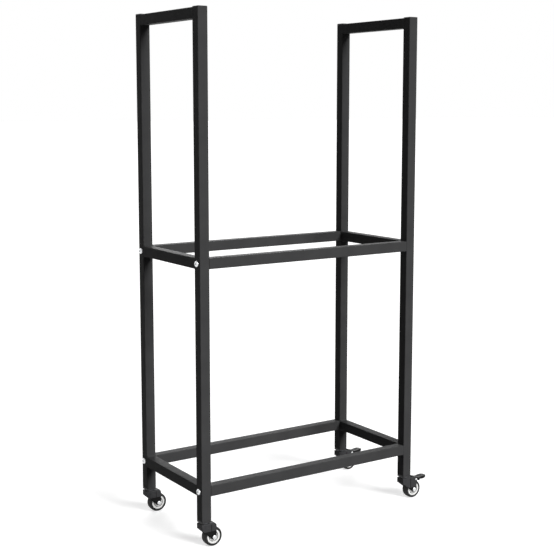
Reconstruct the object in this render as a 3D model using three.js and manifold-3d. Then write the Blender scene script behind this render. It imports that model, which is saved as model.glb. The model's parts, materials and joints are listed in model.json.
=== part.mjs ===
// Fireside log cart: two welded side frames of square steel tube, joined by four bolted shelf rails, on four
// swivel casters. The two casters on the right have a toe brake. Millimetres, +Z up, floor at z = 0. The front
// faces -Y. The origin lies on the floor, in the middle of the overall length and depth.
import * as THREE from "three";
import { mergeVertices } from "three/addons/utils/BufferGeometryUtils.js";
import Module from "manifold-3d";

// ---- Frame
const frameLength = 620; // over the uprights, along X
const frameDepth = 300; // over the uprights, along Y
const tubeTop = 1225; // top of the uprights and of the handle bars
const lowerShelf = 121; // underside of the lower rails and rungs
const upperShelf = 648; // underside of the upper rails and rungs
const tubeSide = 25;
const tubeWall = 1.2;
const tubeCorner = 1.8; // outer corner radius of the tube
const endPlateThickness = 4; // threaded plate welded into each end of a rail

// ---- Gaps
const fitGap = 0.3; // round a shank in its hole, a plug in its tube and a wheel on its axle
const sideGap = 1; // between the fork's cheeks and the tyre, on each side
const cutMargin = 1; // by which a cut passes the faces it opens
const shankChamfer = 1; // at the end of a bolt and of a stem

// ---- End caps
const capThickness = 2;
const capPlugDepth = 12;

// ---- Rail bolts, one at each end of each rail
const boltRadius = 4;
const boltHeadRadius = 7;
const boltHeadHeight = 4.2;
const boltFlatRadius = 3.8; // flat round the socket
const boltEdgeHeight = 0.8; // straight rim of the head, below its dome
const boltSocketRadius = 2.9; // over the corners of the hexagon
const boltSocketDepth = 2.5;
const boltEngagement = 12; // shank past the upright, in the rail's end

// ---- Wheels
const wheelRadius = 23;
const tyreWidth = 19;
const tyreShoulder = 2.5; // rounding of the tread's edges
const rimRadius = 17.2; // outside of the pale rim, inside of the tyre
const rimInset = 0.7; // the rim's faces lie this much inside the tyre's
const rimGrooveRadius = 11.6; // middle of the groove round the hub
const rimGrooveWidth = 1.2;
const rimGrooveDepth = 1.2;
const rimStep = 0.6; // the hub's face lies this much below the rim's
const hubRadius = 5.5; // boss that runs between the cheeks
const axleRadius = 2.5;
const axleHeadRadius = 5;
const axleHeadHeight = 2.5;
const rivetFlat = 0.6; // flat of a rivet's head, as a share of the head's radius
const rivetEdge = 0.35; // straight rim of a rivet's head, as a share of its height

// ---- Forks
const plainTrail = 20; // axle behind the swivel axis
const brakedTrail = 25;
const cheekThickness = 2;
const crownThickness = 2.5;
const crownGap = 9; // tyre to the underside of the crown
const forkFront = 12.5; // leading wall ahead of the swivel axis
const forkFrontHeight = 15; // leading wall, down from the crown's top
const forkCorner = 2; // rounding of the leading wall's ends
const hoodEdge = 4; // rounding along the crown's sides
const axleBossRadius = 6.5;
const hoodRadius = 8.5; // rounding of the hood behind the crown
const hoodBeforeAxle = 2; // centre of that rounding, ahead of the axle
const tyreClearance = 1.5; // round the tread, inside the hood
const slotFront = 17.5; // open top of a braked fork, behind the swivel axis

// ---- Swivel
const stemRadius = 4;
const stemHeadRadius = 6.5;
const stemHeadHeight = 1.6;
const stemLength = 36; // above the crown
const raceRadius = 10.5;
const raceThickness = 1.4;
const flangeThickness = 5.5; // of the leg insert, under the upright
const insertPlugDepth = 26;

// ---- Toe brakes
const brakePinRadius = 1.5;
const brakePinHeadRadius = 2.6;
const brakePinHeadHeight = 0.8;
const brakePinBoss = 4.5; // rounding of the cheek round the pin
const brakePinPastAxle = 6; // pin behind the axle
const brakePinGap = 2.2; // tyre to pin
const pedalSweep = THREE.MathUtils.degToRad(15); // travel from free to locked
const pedalSideGap = 1; // between the pedal and the cheeks, on each side
const pedalThickness = 2.2;
const pedalLip = 2; // depth of the lips along the pad's sides
const pedalLipWidth = 2;
const pedalTipCorner = 7; // rounding of the pad in plan, at its tip
const pedalRootCorner = 2.5; // and at its other end
const pedalHubRadius = 3.4;
const padStart = 8; // the pad's lips begin here, behind the pin
const shoeThickness = 2.2;
const shoeSpan = THREE.MathUtils.degToRad(34); // round the tyre, behind the pin
const lockedGap = 0.2; // shoe to tyre when locked
const strutLean = 5; // top of the shoe's strut, behind its foot
// Middle of the pedal's plate, seen from the side, from the brake pin.
const pedalLine = [
  [-13, 9.8],
  [-6, 6.6],
  [2, 3.6],
  [12, 0.6],
  [23, -0.8],
  [33, 0],
  [39.5, 1.6],
];

// ---- Facets
const turnedFacets = 16; // round pieces
const smallFacets = 12; // shanks, bores and heads
const tyreFacets = 28;
const shoulderFacets = 2;
const domeFacets = 2;
const pedalFacets = 10; // along the plate
const shoeFacets = 6;
const cornerFacets = 2; // a quarter of a tube's corner

// ---- Heights and places that follow
const crownUnderside = 2 * wheelRadius + crownGap;
const crownTop = crownUnderside + crownThickness;
const raceBottom = crownTop + fitGap;
const flangeBottom = raceBottom + raceThickness + fitGap;
const legBottom = flangeBottom + flangeThickness;
const rimWidth = tyreWidth - 2 * rimInset;
const forkGapWidth = tyreWidth + 2 * sideGap;
const forkWidth = forkGapWidth + 2 * cheekThickness;
const pedalWidth = forkGapWidth - 2 * pedalSideGap;
const brakePinRise = Math.sqrt((wheelRadius + brakePinGap + brakePinRadius) ** 2 - brakePinPastAxle ** 2);
const uprightX = (frameLength - tubeSide) / 2;
const uprightY = (frameDepth - tubeSide) / 2;
const pedalReach = brakedTrail + brakePinPastAxle + pedalLine.at(-1)[0];
const rightReach = uprightX + pedalReach;
const leftReach = frameLength / 2 + boltHeadHeight;
const middleOffset = Math.round((rightReach - leftReach) / 2); // whole millimetres

const ends = { left: -1, right: 1 };
const sides = { front: -1, back: 1 };
const shelves = { lower: lowerShelf, upper: upperShelf };

const materials = {
  powderCoat: new THREE.MeshStandardMaterial({ color: 0x1c1c1d, roughness: 0.5, metalness: 0.1 }),
  plastic: new THREE.MeshStandardMaterial({ color: 0x101011, roughness: 0.55 }),
  zinc: new THREE.MeshStandardMaterial({ color: 0xd8d9da, roughness: 0.28, metalness: 1 }),
  steel: new THREE.MeshStandardMaterial({ color: 0x8f9193, roughness: 0.35, metalness: 1 }),
  forkBlack: new THREE.MeshStandardMaterial({ color: 0x18181a, roughness: 0.45 }),
  rimWhite: new THREE.MeshStandardMaterial({ color: 0xe9e9e6, roughness: 0.4 }),
  rubber: new THREE.MeshStandardMaterial({ color: 0x121212, roughness: 0.7 }),
};

const wasm = await Module();
wasm.setup();

// ---- Solids

function solid(geometry) {
  const bare = geometry.clone();
  bare.deleteAttribute("normal");
  bare.deleteAttribute("uv");
  const merged = mergeVertices(bare, 1e-4);
  return new wasm.Manifold(
    new wasm.Mesh({
      numProp: 3,
      vertProperties: merged.attributes.position.array,
      triVerts: new Uint32Array(merged.index.array),
    }),
  );
}

function geometryOf(shape) {
  const mesh = shape.getMesh();
  const geometry = new THREE.BufferGeometry();
  geometry.setAttribute("position", new THREE.BufferAttribute(mesh.vertProperties, 3));
  geometry.setIndex(new THREE.BufferAttribute(mesh.triVerts, 1));
  geometry.computeVertexNormals();
  return geometry;
}

/** A box between two corners. */
function box(low, high) {
  const size = high.map((value, i) => value - low[i]);
  const middle = high.map((value, i) => (value + low[i]) / 2);
  return solid(new THREE.BoxGeometry(...size).translate(...middle));
}

/** A domed head from the edge of its flat top, out and down to its straight rim, as [radius, height]. */
function dome(flatRadius, radius, height, edgeHeight) {
  const points = [];
  for (let i = 0; i <= domeFacets; i++) {
    const angle = (Math.PI / 2) * (i / domeFacets);
    points.push([
      flatRadius + (radius - flatRadius) * Math.sin(angle),
      edgeHeight + (height - edgeHeight) * Math.cos(angle),
    ]);
  }
  return points;
}

/** A square with rounded corners, centred. */
function roundedSquare(side, radius) {
  const half = side / 2;
  const inner = half - radius;
  const shape = new THREE.Shape();
  shape.absarc(inner, inner, radius, 0, Math.PI / 2);
  shape.absarc(-inner, inner, radius, Math.PI / 2, Math.PI);
  shape.absarc(-inner, -inner, radius, Math.PI, 1.5 * Math.PI);
  shape.absarc(inner, -inner, radius, 1.5 * Math.PI, 2 * Math.PI);
  return shape;
}

function prism(shape, length, curveSegments = cornerFacets) {
  return new THREE.ExtrudeGeometry(shape, { depth: length, bevelEnabled: false, curveSegments });
}

/** A side outline, drawn in X and Z, as a solid of a width along Y and centred on it. */
function acrossY(shape, width) {
  return solid(prism(shape, width).rotateX(Math.PI / 2).translate(0, width / 2, 0));
}

/** A solid turned about Z from a profile of [radius, z] points. */
function turned(profile, facets = turnedFacets) {
  const points = profile.map(([radius, z]) => new THREE.Vector2(radius, z));
  return solid(new THREE.LatheGeometry(points, facets).rotateX(Math.PI / 2));
}

/** A cylinder about Z from one height to another. */
function cylinder(radius, low, high, facets = smallFacets) {
  return turned([[0, low], [radius, low], [radius, high], [0, high]], facets);
}

/** A cylinder about an axis along Y. */
function crossPin(x, z, radius, length, facets = smallFacets) {
  return cylinder(radius, -length / 2, length / 2, facets).rotate([90, 0, 0]).translate([x, 0, z]);
}

/** The convex outline round a list of discs, each [x, z, radius]. */
function outlineRound(discs) {
  const steps = 16;
  const points = [];
  for (const [x, z, radius] of discs) {
    for (let i = 0; i < (radius ? steps : 1); i++) {
      const angle = (2 * Math.PI * i) / steps;
      points.push([x + radius * Math.cos(angle), z + radius * Math.sin(angle)]);
    }
  }
  points.sort((a, b) => a[0] - b[0] || a[1] - b[1]);
  const turns = (a, b, c) => (b[0] - a[0]) * (c[1] - a[1]) - (b[1] - a[1]) * (c[0] - a[0]);
  const chain = (list) => {
    const kept = [];
    for (const point of list) {
      while (kept.length > 1 && turns(kept.at(-2), kept.at(-1), point) < 1e-6) kept.pop();
      kept.push(point);
    }
    return kept.slice(0, -1);
  };
  const outline = [...chain(points), ...chain(points.reverse())];
  return new THREE.Shape(outline.map(([x, z]) => new THREE.Vector2(x, z)));
}

// ---- Frame pieces

function squareTube(length) {
  const section = roundedSquare(tubeSide, tubeCorner);
  const bore = tubeSide / 2 - tubeWall;
  section.holes.push(new THREE.Path([
    new THREE.Vector2(-bore, -bore),
    new THREE.Vector2(-bore, bore),
    new THREE.Vector2(bore, bore),
    new THREE.Vector2(bore, -bore),
  ]));
  return prism(section, length);
}

/** An upright along Z from its foot, with its two bolt holes along X. */
function uprightGeometry() {
  let upright = solid(squareTube(tubeTop - legBottom));
  for (const shelf of Object.values(shelves)) {
    const hole = cylinder(boltRadius + fitGap, -tubeSide, tubeSide).rotate([0, 90, 0]);
    upright = upright.subtract(hole.translate([0, 0, shelf + tubeSide / 2 - legBottom]));
  }
  return geometryOf(upright);
}

/** A rail along X, centred, with a drilled plate in each end. */
function railGeometry() {
  const length = frameLength - 2 * tubeSide;
  let rail = solid(squareTube(length).translate(0, 0, -length / 2).rotateY(Math.PI / 2));
  const half = tubeSide / 2 - tubeWall / 2;
  for (const end of Object.values(ends)) {
    const outer = (end * length) / 2;
    const inner = outer - end * endPlateThickness;
    const plate = box(
      [Math.min(outer, inner), -half, -half],
      [Math.max(outer, inner), half, half],
    );
    rail = rail.add(plate);
  }
  const bore = cylinder(boltRadius + fitGap, -length, length).rotate([0, 90, 0]);
  return geometryOf(rail.subtract(bore));
}

/** A plug for a tube's end, from z = 0 up, with a plate below it that covers the tube's wall. */
function plugWithPlate(plateThickness, plugDepth) {
  const plugSide = tubeSide - 2 * tubeWall - 2 * fitGap;
  const plate = solid(prism(roundedSquare(tubeSide, tubeCorner), plateThickness));
  const plug = solid(prism(roundedSquare(plugSide, tubeCorner / 2), plugDepth + plateThickness));
  return plate.add(plug).translate([0, 0, -plateThickness]);
}

/** A button-head bolt along +Z, with the head's seat at z = 0 and the head below it. */
function boltGeometry() {
  const head = dome(boltFlatRadius, boltHeadRadius, boltHeadHeight, boltEdgeHeight);
  const length = tubeSide + boltEngagement;
  const bolt = turned([
    [0, -boltHeadHeight],
    ...head.map(([radius, height]) => [radius, -height]),
    [boltHeadRadius, 0],
    [boltRadius, 0],
    [boltRadius, length - shankChamfer],
    [boltRadius - shankChamfer, length],
    [0, length],
  ], smallFacets);
  const hexagon = 6;
  const socket = cylinder(
    boltSocketRadius, -boltHeadHeight - cutMargin, boltSocketDepth - boltHeadHeight, hexagon,
  );
  return geometryOf(bolt.subtract(socket));
}

// ---- Caster pieces, about the swivel axis, with the wheel trailing towards +X

function cheekDiscs(caster) {
  const front = -forkFront + forkCorner;
  const discs = [
    [front, crownTop - forkCorner, forkCorner],
    [front, crownTop - forkFrontHeight + forkCorner, forkCorner],
    [caster.trail, wheelRadius, axleBossRadius],
  ];
  if (caster.braked) {
    discs.push([slotFront - forkCorner, crownTop - forkCorner, forkCorner]);
    discs.push([caster.trail + brakePinPastAxle, wheelRadius + brakePinRise, brakePinBoss]);
  } else {
    discs.push([caster.trail - hoodBeforeAxle, crownTop - hoodRadius, hoodRadius]);
  }
  return discs;
}

/** The space inside the fork: open below, and open above the brake's lever. */
function forkSpace(caster) {
  const front = -forkFront + cheekThickness;
  const below = -crownTop; // well under the fork
  if (caster.braked) {
    const room = box([front, -forkGapWidth / 2, below], [slotFront, forkGapWidth / 2, crownUnderside]);
    const back = caster.trail + 2 * wheelRadius;
    return room.add(box([slotFront, -forkGapWidth / 2, below], [back, forkGapWidth / 2, 2 * crownTop]));
  }
  const hoodCentre = [caster.trail - hoodBeforeAxle, crownTop - hoodRadius];
  const hoodInside = hoodRadius - crownThickness;
  const outline = outlineRound([
    [front, below, 0],
    [front, crownUnderside, 0],
    [...hoodCentre, hoodInside],
    [hoodCentre[0] + hoodInside, below, 0],
  ]);
  return acrossY(outline, forkGapWidth);
}

function forkGeometry(caster) {
  const half = forkWidth / 2;
  const section = new THREE.Shape();
  section.moveTo(-half, 0);
  section.lineTo(half, 0);
  section.absarc(half - hoodEdge, crownTop - hoodEdge, hoodEdge, 0, Math.PI / 2);
  section.absarc(hoodEdge - half, crownTop - hoodEdge, hoodEdge, Math.PI / 2, Math.PI);
  const reach = caster.trail + 2 * wheelRadius;
  const hood = solid(prism(section, 2 * reach).rotateX(Math.PI / 2).rotateZ(Math.PI / 2))
    .translate([-reach, 0, 0]);
  const wheelRoom = crossPin(
    caster.trail, wheelRadius, wheelRadius + tyreClearance, forkGapWidth, turnedFacets,
  );
  let fork = acrossY(outlineRound(cheekDiscs(caster)), forkWidth)
    .intersect(hood)
    .subtract(forkSpace(caster))
    .subtract(wheelRoom)
    .subtract(cylinder(stemRadius + fitGap, crownUnderside - cutMargin, crownTop + cutMargin))
    .subtract(crossPin(caster.trail, wheelRadius, axleRadius + fitGap, 2 * forkWidth));
  if (caster.braked) {
    const pinX = caster.trail + brakePinPastAxle;
    const pinZ = wheelRadius + brakePinRise;
    fork = fork.subtract(crossPin(pinX, pinZ, brakePinRadius + fitGap, 2 * forkWidth));
  }
  return geometryOf(fork);
}

/** The stem that the fork turns on: a head under the crown and a shank up into the leg insert. */
function stemGeometry() {
  const headTop = crownUnderside - fitGap;
  const top = crownTop + stemLength;
  return geometryOf(turned([
    [0, headTop - stemHeadHeight],
    [stemHeadRadius - stemHeadHeight / 2, headTop - stemHeadHeight],
    [stemHeadRadius, headTop - stemHeadHeight / 2],
    [stemHeadRadius, headTop],
    [stemRadius, headTop],
    [stemRadius, top - shankChamfer],
    [stemRadius - shankChamfer, top],
    [0, top],
  ], smallFacets));
}

function raceGeometry() {
  const bore = stemRadius + fitGap;
  return geometryOf(turned([
    [bore, raceBottom],
    [raceRadius, raceBottom],
    [raceRadius, raceBottom + raceThickness],
    [bore, raceBottom + raceThickness],
    [bore, raceBottom],
  ]));
}

function legInsertGeometry() {
  const insert = plugWithPlate(flangeThickness, insertPlugDepth);
  const bore = cylinder(stemRadius + fitGap, -2 * flangeThickness, 2 * insertPlugDepth);
  return geometryOf(insert.subtract(bore));
}

/** A rivet along Y, with a domed head outside each cheek. */
function rivetGeometry(radius, headRadius, headHeight) {
  const seat = forkWidth / 2;
  const head = dome(headRadius * rivetFlat, headRadius, headHeight, headHeight * rivetEdge);
  const profile = [
    [0, -seat - headHeight],
    ...head.map(([r, height]) => [r, -seat - height]),
    [headRadius, -seat],
    [radius, -seat],
  ];
  const mirrored = profile.map(([r, z]) => [r, -z]).reverse();
  return geometryOf(turned([...profile, ...mirrored], smallFacets).rotate([90, 0, 0]));
}

/** The rim's profile on one face, from its edge in to the bore, as [radius, distance from the middle]. */
function rimFace() {
  const face = rimWidth / 2;
  const grooveOut = rimGrooveRadius + rimGrooveWidth / 2;
  const grooveIn = rimGrooveRadius - rimGrooveWidth / 2;
  return [
    [rimRadius - fitGap, face],
    [grooveOut, face],
    [grooveOut, face - rimGrooveDepth],
    [grooveIn, face - rimGrooveDepth],
    [grooveIn, face - rimStep],
    [hubRadius, face - rimStep],
    [hubRadius, forkGapWidth / 2 - fitGap],
    [axleRadius + fitGap, forkGapWidth / 2 - fitGap],
  ];
}

function rimGeometry() {
  const upper = rimFace();
  const lower = upper.map(([radius, z]) => [radius, -z]).reverse();
  return geometryOf(turned([...lower, ...upper, lower[0]]).rotate([90, 0, 0]));
}

/** The tyre's flats lie at the wheel's radius, and one of them is at the bottom. */
function tyreGeometry() {
  const scale = 1 / Math.cos(Math.PI / tyreFacets);
  const half = tyreWidth / 2;
  const outer = wheelRadius * scale;
  const shoulder = [];
  for (let i = 0; i <= shoulderFacets; i++) {
    const angle = (Math.PI / 2) * (i / shoulderFacets);
    shoulder.push([
      outer - tyreShoulder + tyreShoulder * Math.cos(angle),
      half - tyreShoulder + tyreShoulder * Math.sin(angle),
    ]);
  }
  const upper = [...shoulder, [rimRadius, half]];
  const lower = upper.map(([radius, z]) => [radius, -z]).reverse();
  return geometryOf(turned([...lower, ...upper, lower[0]], tyreFacets)
    .rotate([0, 0, 180 / tyreFacets]).rotate([90, 0, 0]));
}

/** A strip along a smooth line through points, as an outline. */
function stripOutline(points, thickness) {
  const line = new THREE.SplineCurve(points.map(([x, z]) => new THREE.Vector2(x, z)));
  const above = [];
  const below = [];
  for (let i = 0; i <= pedalFacets; i++) {
    const middle = line.getPoint(i / pedalFacets);
    const along = line.getTangent(i / pedalFacets);
    const normal = new THREE.Vector2(-along.y, along.x).multiplyScalar(thickness / 2);
    above.push(middle.clone().add(normal));
    below.push(middle.clone().sub(normal));
  }
  return new THREE.Shape([...below, ...above.reverse()]);
}

/** The pedal's plan view, with a blunt root and a rounder tip. */
function pedalPlan() {
  const half = pedalWidth / 2;
  const rootX = pedalLine[0][0] + pedalRootCorner;
  const tipX = pedalLine.at(-1)[0] - pedalTipCorner;
  const plan = new THREE.Shape();
  plan.absarc(tipX, half - pedalTipCorner, pedalTipCorner, 0, Math.PI / 2);
  plan.absarc(rootX, half - pedalRootCorner, pedalRootCorner, Math.PI / 2, Math.PI);
  plan.absarc(rootX, pedalRootCorner - half, pedalRootCorner, Math.PI, 1.5 * Math.PI);
  plan.absarc(tipX, pedalTipCorner - half, pedalTipCorner, 1.5 * Math.PI, 2 * Math.PI);
  return plan;
}

/** Height of the plate's middle at a distance behind the pin. */
function pedalHeight(x) {
  const next = pedalLine.findIndex(([pointX]) => pointX > x);
  const [backX, backZ] = pedalLine[next];
  const [frontX, frontZ] = pedalLine[next - 1];
  return frontZ + ((backZ - frontZ) * (x - frontX)) / (backX - frontX);
}

/** The plate with its lips, cut to the plan. */
function pedalPlate() {
  const half = pedalWidth / 2;
  const far = pedalReach; // beyond the pedal on every side
  const plate = acrossY(stripOutline(pedalLine, pedalThickness), pedalWidth);
  const lipLine = pedalLine.map(([x, z]) => [x, z - (pedalThickness + pedalLip) / 2]);
  const lips = acrossY(stripOutline(lipLine, pedalLip + pedalThickness / 2), pedalWidth)
    .subtract(box([-far, pedalLipWidth - half, -far], [far, half - pedalLipWidth, far]))
    .subtract(box([-far, -half, -far], [padStart, half, far]));
  const planform = solid(prism(pedalPlan(), 2 * far)).translate([0, 0, -far]);
  return plate.add(lips).intersect(planform);
}

/** The shoe, an arc round the locked tyre, with the strut that carries it, turned back to free. */
function brakeShoe() {
  const wheel = new THREE.Vector2(-brakePinPastAxle, -brakePinRise);
  const inner = wheelRadius / Math.cos(Math.PI / tyreFacets) + lockedGap;
  const start = wheel.clone().negate().angle();
  const end = start - shoeSpan;
  const outline = new THREE.Shape();
  outline.absarc(wheel.x, wheel.y, inner, start, end, true);
  outline.absarc(wheel.x, wheel.y, inner + shoeThickness, end, start, false);
  const arc = solid(prism(outline, pedalWidth, shoeFacets).rotateX(Math.PI / 2)
    .translate(0, pedalWidth / 2, 0)).rotate([0, -THREE.MathUtils.radToDeg(pedalSweep), 0]);

  const foot = new THREE.Vector2(Math.cos(end), Math.sin(end))
    .multiplyScalar(inner + shoeThickness / 2)
    .add(wheel)
    .rotateAround(new THREE.Vector2(), pedalSweep);
  const topX = foot.x + strutLean;
  const strut = acrossY(outlineRound([
    [foot.x, foot.y, shoeThickness / 2],
    [topX, pedalHeight(topX), shoeThickness / 2],
  ]), pedalWidth);
  return arc.add(strut);
}

/** The toe pedal about its pin. */
function pedalGeometry() {
  const hub = crossPin(0, 0, pedalHubRadius, pedalWidth);
  const bore = crossPin(0, 0, brakePinRadius + fitGap, 2 * pedalWidth);
  return geometryOf(pedalPlate().add(brakeShoe()).add(hub).subtract(bore));
}

// ---- Assembly

const cart = new THREE.Group();
cart.position.x = -middleOffset;

function place(parent, name, geometry, material, x, y, z) {
  const mesh = new THREE.Mesh(geometry, material);
  mesh.name = name;
  mesh.position.set(x, y, z);
  parent.add(mesh);
  return mesh;
}

function addSideFrames() {
  const upright = uprightGeometry();
  const rung = squareTube(frameDepth - 2 * tubeSide);
  const cap = geometryOf(plugWithPlate(capThickness, capPlugDepth).rotate([180, 0, 0]));
  const levels = { lower_rung: lowerShelf, upper_rung: upperShelf, handle_bar: tubeTop - tubeSide };
  for (const [end, signX] of Object.entries(ends)) {
    for (const [side, signY] of Object.entries(sides)) {
      const x = signX * uprightX;
      const y = signY * uprightY;
      place(cart, `upright_${side}_${end}`, upright, materials.powderCoat, x, y, legBottom);
      place(cart, `end_cap_${side}_${end}`, cap, materials.plastic, x, y, tubeTop);
    }
    for (const [name, underside] of Object.entries(levels)) {
      const z = underside + tubeSide / 2;
      const y = frameDepth / 2 - tubeSide;
      const bar = place(cart, `${name}_${end}`, rung, materials.powderCoat, signX * uprightX, y, z);
      bar.rotation.x = Math.PI / 2;
    }
  }
}

function addShelves() {
  const rail = railGeometry();
  const bolt = boltGeometry();
  for (const [level, underside] of Object.entries(shelves)) {
    const z = underside + tubeSide / 2;
    for (const [side, signY] of Object.entries(sides)) {
      const y = signY * uprightY;
      place(cart, `${level}_rail_${side}`, rail, materials.powderCoat, 0, y, z);
      for (const [end, signX] of Object.entries(ends)) {
        const x = (signX * frameLength) / 2;
        const mesh = place(cart, `bolt_${level}_${side}_${end}`, bolt, materials.zinc, x, y, z);
        mesh.rotation.y = (-signX * Math.PI) / 2;
      }
    }
  }
}

function addCaster(side, end) {
  const braked = end === "right";
  const caster = { braked, trail: braked ? brakedTrail : plainTrail };
  const group = new THREE.Group();
  group.position.set(ends[end] * uprightX, sides[side] * uprightY, 0);
  cart.add(group);
  const name = (piece) => `${piece}_${side}_${end}`;
  const { plastic, steel, forkBlack, rimWhite, rubber, zinc } = materials;
  place(group, name("leg_insert"), legInsertGeometry(), plastic, 0, 0, legBottom);
  place(group, name("stem"), stemGeometry(), steel, 0, 0, 0);
  place(group, name("swivel_race"), raceGeometry(), steel, 0, 0, 0);
  place(group, name("fork"), forkGeometry(caster), forkBlack, 0, 0, 0);
  const axle = rivetGeometry(axleRadius, axleHeadRadius, axleHeadHeight);
  place(group, name("axle"), axle, zinc, caster.trail, 0, wheelRadius);
  place(group, name("rim"), rimGeometry(), rimWhite, caster.trail, 0, wheelRadius);
  place(group, name("tyre"), tyreGeometry(), rubber, caster.trail, 0, wheelRadius);
  if (braked) {
    const pinX = caster.trail + brakePinPastAxle;
    const pinZ = wheelRadius + brakePinRise;
    const pin = rivetGeometry(brakePinRadius, brakePinHeadRadius, brakePinHeadHeight);
    place(group, name("brake_pin"), pin, zinc, pinX, 0, pinZ);
    place(group, name("brake_pedal"), pedalGeometry(), forkBlack, pinX, 0, pinZ);
  }
}

addSideFrames();
addShelves();
for (const side of Object.keys(sides)) {
  for (const end of Object.keys(ends)) {
    addCaster(side, end);
  }
}

export default cart;
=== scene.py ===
"""Looks of the fireside log cart: two welded side frames of black square tube, joined by four bolted
rails, on four swivel casters with white wheel centres. The two casters on the right have a toe brake."""

import json
import math

import bmesh
import bpy
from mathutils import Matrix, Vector


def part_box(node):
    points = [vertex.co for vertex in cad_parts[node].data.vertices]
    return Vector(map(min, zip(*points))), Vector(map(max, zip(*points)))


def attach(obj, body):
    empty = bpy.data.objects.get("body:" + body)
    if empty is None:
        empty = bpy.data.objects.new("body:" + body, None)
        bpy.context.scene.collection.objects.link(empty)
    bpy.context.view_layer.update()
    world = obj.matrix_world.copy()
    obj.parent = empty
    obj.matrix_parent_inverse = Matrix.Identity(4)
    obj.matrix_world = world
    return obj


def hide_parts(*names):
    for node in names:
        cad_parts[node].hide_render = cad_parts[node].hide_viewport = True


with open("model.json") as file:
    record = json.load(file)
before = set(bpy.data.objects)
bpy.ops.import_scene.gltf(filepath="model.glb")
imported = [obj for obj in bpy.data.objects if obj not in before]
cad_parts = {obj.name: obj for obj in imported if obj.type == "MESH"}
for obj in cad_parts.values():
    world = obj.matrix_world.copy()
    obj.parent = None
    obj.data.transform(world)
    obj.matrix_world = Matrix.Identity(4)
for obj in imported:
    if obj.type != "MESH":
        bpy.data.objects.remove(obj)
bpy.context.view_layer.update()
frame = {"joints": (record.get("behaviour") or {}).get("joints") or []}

MM = 0.001  # every size below is in metres
HAIR = 0.01 * MM  # keeps a cutter's faces off the ones beside them
X, Y, Z = range(3)
SIDES = ("front", "back")
ENDS = ("left", "right")
LEVELS = ("lower", "upper")
JOINTS = {joint["name"]: Vector(joint["pos_m"]) for joint in frame["joints"]}

# ---- Camera, in the row frame
CAMERA_PLACE = (-1580.0 * MM, -2344.4 * MM, 1013.9 * MM)
CAMERA_AZIMUTH = math.radians(33.43)  # azimuths are from +Y towards +X
CAMERA_PITCH = math.radians(-7.36)
CAMERA_LENS = 74.26  # millimetres, on a 36 mm sensor
CAMERA_SHIFT = -0.045

# ---- Tubes and welds
TUBE_CORNER = 1.8 * MM
TUBE_WALL = 1.2 * MM
TUBE_CUT_EDGE = 0.25 * MM  # burr taken off a sawn end
CORNER_STEPS = 6
END_PLATE = 4.0 * MM  # the drilled plate in each end of a rail
END_PLATE_LAP = 0.1 * MM  # how far it reaches into the tube's wall
WELD_LEG = 3.0 * MM
WELD_PITCH = 1.9 * MM  # one ripple
WELD_RIPPLE = 0.10  # height of a ripple, as a share of the bead's
WELD_BURY = 0.6 * MM  # how far the bead reaches into the tubes
WELD_HOLLOW = 0.2  # how much its face is sunk, as a share of its leg
WELD_END = 0.25  # its size at its two ends, as a share of the middle's
WELD_ARC_STEPS = 6
WELD_STEPS = 6  # along one ripple
SEAM_HALF_WIDTH = 2.3 * MM  # a dressed seam on the frame's side faces
SEAM_CROWN = 0.3 * MM
SEAM_DEPTH = 1.5 * MM
SEAM_OFFSET = 0.5 * MM  # from the joint onto the post

# ---- Plastic ends
CAP_LID = 2.0 * MM
CAP_LID_EDGE = 0.8 * MM
CAP_DOME = 0.35 * MM
CAP_LIP = 0.15 * MM  # the lid's rim stands this far inside the tube's faces
CAP_PLUG_CHAMFER = 1.2 * MM
PLUG_GAP = 0.3 * MM
FLANGE_EDGE = 0.7 * MM
FLANGE_TOP_EDGE = 0.4 * MM
FLANGE_NECK = 0.9 * MM  # height and depth of the shadow groove under the tube
INSERT_CHAMFER = 1.0 * MM
EDGE_STEPS = 4

# ---- Bolts
BOLT_HEAD_HEIGHT = 4.2 * MM
BOLT_HEAD_EDGE = 0.8 * MM
BOLT_SEAT_EDGE = 0.2 * MM
BOLT_FLAT_RADIUS = 3.8 * MM
BOLT_SHANK_RADIUS = 4.0 * MM
BOLT_POINT = 1.0 * MM
BOLT_SOCKET_RADIUS = 2.9 * MM
BOLT_SOCKET_DEPTH = 2.5 * MM
BOLT_SOCKET_CHAMFER = 0.25 * MM
BOLT_SOCKET_CONE = 0.6 * MM
DOME_STEPS = 8
TURNED_STEPS = 48

# ---- Casters
GAP = 0.3 * MM
CHEEK_THICKNESS = 2.0 * MM
CROWN_THICKNESS = 2.5 * MM
FORK_FRONT_HEIGHT = 15.0 * MM
FORK_CORNER = 2.0 * MM
CHEEK_EDGE = 0.9 * MM  # rounding of the pressing's outer edges
HOOD_EDGE = 4.0 * MM
HOOD_STEPS = 8
HOOD_SPREAD = 1.001  # keeps the hood's sides off the cheeks
AXLE_BOSS = 6.5 * MM
HOOD_RADIUS = 8.5 * MM
HOOD_BEFORE_AXLE = 2.0 * MM
SLOT_FRONT = 17.5 * MM
PIN_BOSS = 4.5 * MM
ROOM_CORNER = 0.2 * MM
TYRE_CLEARANCE = 1.5 * MM
CREASE_BACK = 12.5 * MM  # vertical crease in each cheek, behind the swivel axis
CREASE_WIDTH = 1.4 * MM
CREASE_DEPTH = 0.9 * MM
ARM_STEP = 0.8 * MM  # the arms lie this far inside the hood's faces
PLAIN_ARM_TOP = 38.0 * MM
BRAKED_ARM_TOP = 29.0 * MM
HULL_STEPS = 48
STEM_RADIUS = 4.0 * MM
STEM_CHAMFER = 1.0 * MM
STEM_HEAD_HEIGHT = 1.6 * MM
STEM_HEAD_EDGE = 0.5 * MM
RACE_EDGE = 0.45 * MM
RIVET_SEAT_EDGE = 0.1 * MM
RIVET_FLAT = 0.55  # radius of a rivet head's flat top, as a share of the head's
RIVET_RIM = 0.3  # height of its straight rim, as a share of the head's

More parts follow.
